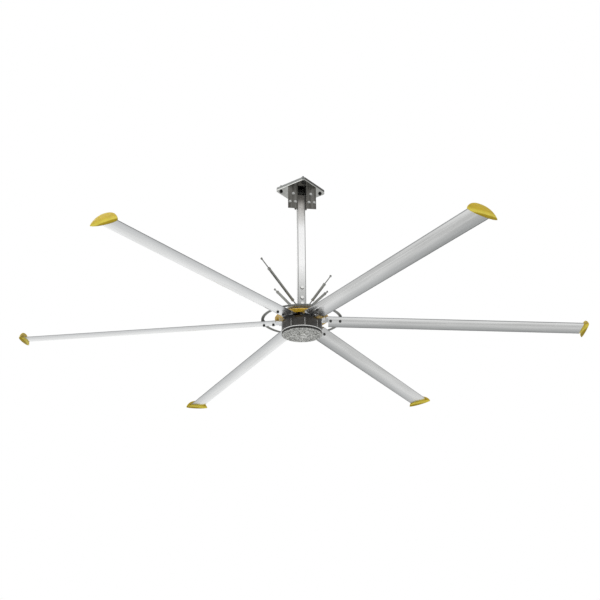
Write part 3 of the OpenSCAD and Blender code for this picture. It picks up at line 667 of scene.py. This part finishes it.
# %% [markdown]
# A blade needs one step more. The triangles round its bolt holes reach all the way to
# its far end, and a smooth normal that changes over two metres shows as a stripe. So
# the blade is cut across just beyond the bolts, and every flat strip beyond the cut
# becomes one long clean face. The cut line is a seam, which the cleaning leaves alone.

# %% Smooth copies of the blades
BEYOND_BOLTS = 380 * MM
DROOP, FLAT = math.radians(2.8), math.radians(0.08)


def cut_across(shape, place, normal, **options):
    everything = shape.verts[:] + shape.edges[:] + shape.faces[:]
    cut = bmesh.ops.bisect_plane(shape, geom=everything, plane_co=place, plane_no=normal,
                                 **options)["geom_cut"]
    return [item for item in cut if isinstance(item, bmesh.types.BMEdge)]


def blade_stand_in(i):
    name = f"blade_{i + 1}"
    shape = merged_copy(name)
    along = Vector((math.cos(blade_angles[i]) * math.cos(DROOP),
                    math.sin(blade_angles[i]) * math.cos(DROOP), -math.sin(DROOP)))
    for edge in cut_across(shape, Vector((0, 0, HUB_Z)) + along * BEYOND_BOLTS, along):
        edge.seam = True
    before = len(shape.faces)
    bmesh.ops.dissolve_limit(shape, angle_limit=FLAT, verts=shape.verts, edges=shape.edges,
                             delimit={"SEAM"})
    print(name, before, "faces become", len(shape.faces))
    place_shape(shape, f"smooth_{name}", finish_of[name], body_of[name], [name])


for i in range(BLADES):
    blade_stand_in(i)

# %% [markdown]
# ## The hanger's legs and a plate for the shade behind the tube
# The side leg of each angle is trimmed along its lower edge, so that its back part doesn't hang
# into sight under the front flange. A bisecting plane cuts a merged copy and the hole is closed.
# Behind the tube a grey plate is put between the two legs to stand in for the shade in the gap
# above the tube, so no light comes through there. It is a plain plate: one bevelled box between
# the legs.

# %% Trim the angles and add the shade plate
CORNERWISE = Matrix.Rotation(QUARTER_SQUARE, 4, "Z")
LEG_CORNER, LEG_RISE, LEG_DEPTH = (0, -98 * MM, -262 * MM), 70, 144
WEB_SIZE_MM, WEB_MIDDLE_MM = (75.0, 5.5, 160.0), (0, 41.0, -112.5)


def trimmed_angle(name):
    shape = merged_copy(name)
    normal = CORNERWISE @ Vector((0, LEG_RISE, -LEG_DEPTH)).normalized()
    edges = cut_across(shape, CORNERWISE @ Vector(LEG_CORNER), normal, clear_outer=True)
    bmesh.ops.holes_fill(shape, edges=edges)
    place_shape(shape, f"trimmed_{name}", finish_of[name], body_of[name], [name])


def bevelled_box(shape, size_mm, middle_mm, turn, radius_mm=1.0):
    made = bmesh.ops.create_cube(shape, size=1.0)["verts"]
    bmesh.ops.scale(shape, vec=[s * MM for s in size_mm], verts=made)
    bmesh.ops.translate(shape, vec=[m * MM for m in middle_mm], verts=made)
    bmesh.ops.transform(shape, matrix=turn, verts=made)
    edges = {edge for vert in made for edge in vert.link_edges}
    bmesh.ops.bevel(shape, geom=list(edges), offset=radius_mm * MM, segments=2, profile=0.5,
                    affect="EDGES", material=-1)


for side in ("left", "right"):
    trimmed_angle(f"hanger_angle_{side}")
# a plate put in to darken the gap above the tube: it stands in for the shade there
web = bmesh.new()
bevelled_box(web, WEB_SIZE_MM, WEB_MIDDLE_MM, CORNERWISE)
place_shape(web, "shade_plate_behind_tube", grey, "frame")
print("web behind the tube:", WEB_SIZE_MM, "mm")

# %% [markdown]
# ## Highlight strips in the grooves
# The housing is rolled from nine plates, with a groove 3 mm wide and 1 mm deep at each joint. A
# pale strip in each groove is a painted highlight, for the light caught along the groove's edges.

# %% Painted highlight strips in the housing's grooves
PLATES = 9
STRIP_SIZE_MM, STRIP_MIDDLE_MM, STRIP_ROUNDING_MM = (1.1, 2.8, 69.0), (179.6, 0, -1421.0), 0.3
highlight_strip_shapes = bmesh.new()
for i in range(PLATES):
    turn = Matrix.Rotation(math.radians(FIRST_BLADE + i * 360 / PLATES), 4, "Z")
    # painted highlight: a pale strip in each groove
    bevelled_box(highlight_strip_shapes, STRIP_SIZE_MM, STRIP_MIDDLE_MM, turn, STRIP_ROUNDING_MM)
place_shape(highlight_strip_shapes, "highlight_strips", pale, "rotor")
print(PLATES, "seam strips,", STRIP_SIZE_MM[2], "mm long")

# %% [markdown]
# ## Light
# The fan hangs in an even white studio. The camera, mirrors and gloss see a white
# world, while the light that the world throws on dull surfaces is weaker, so pale
# paint doesn't burn out. Big soft lamps give the shading.

# %% World and lamps
AMBIENT = 0.62
LIT_POINT = (0, 0, -1.2)
LAMPS = {"key_lamp": ((2.5, -9.0, -4.5), 10.0, 330),
         "fill_lamp": ((9.0, 1.5, -3.5), 8.0, 150),
         "top_lamp": ((-3.0, -3.0, 6.0), 10.0, 420)}


def white_world(ambient):
    world = bpy.data.worlds.new("studio")
    world.use_nodes = True
    bpy.context.scene.world = world
    tree = world.node_tree
    path = add(tree, "ShaderNodeLightPath").outputs
    seen = maths(tree, "ADD", path["Is Camera Ray"], path["Is Glossy Ray"])
    seen = maths(tree, "ADD", seen, path["Is Transmission Ray"])
    background = tree.nodes["Background"]
    background.inputs["Color"].default_value = (1, 1, 1, 1)
    tree.links.new(value_between(tree, seen, ambient, 1.0, 0.0, 1.0),
                   background.inputs["Strength"])


def soft_lamp(name, place, size, power):
    data = bpy.data.lights.new(name, "AREA")
    data.shape = "SQUARE"
    data.size = size
    data.energy = power
    lamp = bpy.data.objects.new(name, data)
    bpy.context.scene.collection.objects.link(lamp)
    lamp.location = place
    lamp.rotation_mode = "QUATERNION"
    lamp.rotation_quaternion = (Vector(LIT_POINT) - Vector(place)).to_track_quat("-Z", "Y")
    lamp.visible_camera = False


bpy.context.scene.view_settings.view_transform = "Standard"
white_world(AMBIENT)
for name, (place, size, power) in LAMPS.items():
    soft_lamp(name, place, size, power)

# %% [markdown]
# The floor is far below. It is pale and plain, and its material lets a camera that looks up from
# under it see through, so it never hides the fan. Metal above sees it as a glow in set greys,
# which is a painted reflection: bright straight below, a ring of painted shade some 10 m out, and
# white again towards the walls. Each blade tilts its own way and mirrors another part of that
# glow, and that gives the six blades their different shades.

# %% The floor
# painted reflection and painted shade: the greys that gloss sees on the floor, by distance from
# the middle
PAINTED_FLOOR_REFLECTION_GREYS = [(8, "#F4F4F3"), (11.2, "#EEEEED"), (13.2, "#C6C6C5"), (15.6, "#DADAD9"),
               (18.4, "#EAEAE9"), (24, "#FFFFFF")]
FLOOR_REACH = 25.0
FLOOR_Z, FLOOR_HALF_WIDTH = -9.0, 22.0


def hall_floor():
    shape = bmesh.new()
    bmesh.ops.create_grid(shape, x_segments=1, y_segments=1, size=FLOOR_HALF_WIDTH)
    bmesh.ops.translate(shape, verts=shape.verts, vec=(0, 0, FLOOR_Z))
    mesh = bpy.data.meshes.new("floor")
    shape.to_mesh(mesh)
    shape.free()
    floor = bpy.data.objects.new("floor", mesh)
    bpy.context.scene.collection.objects.link(floor)
    material, tree, shader = new_finish("pale_floor", metallic=0.0, roughness=0.8)
    plug_in(tree, shader, colour_between(tree, speckle(tree, size_mm=800), "#E9E9E7", "#EEEEEC"))
    # painted reflection and painted shade: gloss sees a glow in set greys, greyest in a ring out
    # from the middle
    away = value_between(tree, distance(tree, object_place(tree)), 0.0, 1.0, 0.0, FLOOR_REACH)
    greys = colour_bands(tree, away, [(m / FLOOR_REACH, colour) for m, colour in PAINTED_FLOOR_REFLECTION_GREYS])
    painted_reflection_glow = add(tree, "ShaderNodeEmission", {"Color": greys, "Strength": 1.0})
    gloss = add(tree, "ShaderNodeLightPath").outputs["Is Glossy Ray"]
    seen = add(tree, "ShaderNodeMixShader", {0: gloss, 1: shader.outputs[0],
                                             2: painted_reflection_glow.outputs[0]})
    clear = add(tree, "ShaderNodeBsdfTransparent")
    below = add(tree, "ShaderNodeNewGeometry").outputs["Backfacing"]
    mix = add(tree, "ShaderNodeMixShader", {0: below, 1: seen.outputs[0], 2: clear.outputs[0]})
    tree.links.new(mix.outputs[0], tree.nodes["Material Output"].inputs["Surface"])
    mesh.materials.append(material)


hall_floor()
print("floor:", 2 * FLOOR_HALF_WIDTH, "m wide at", FLOOR_Z, "m")
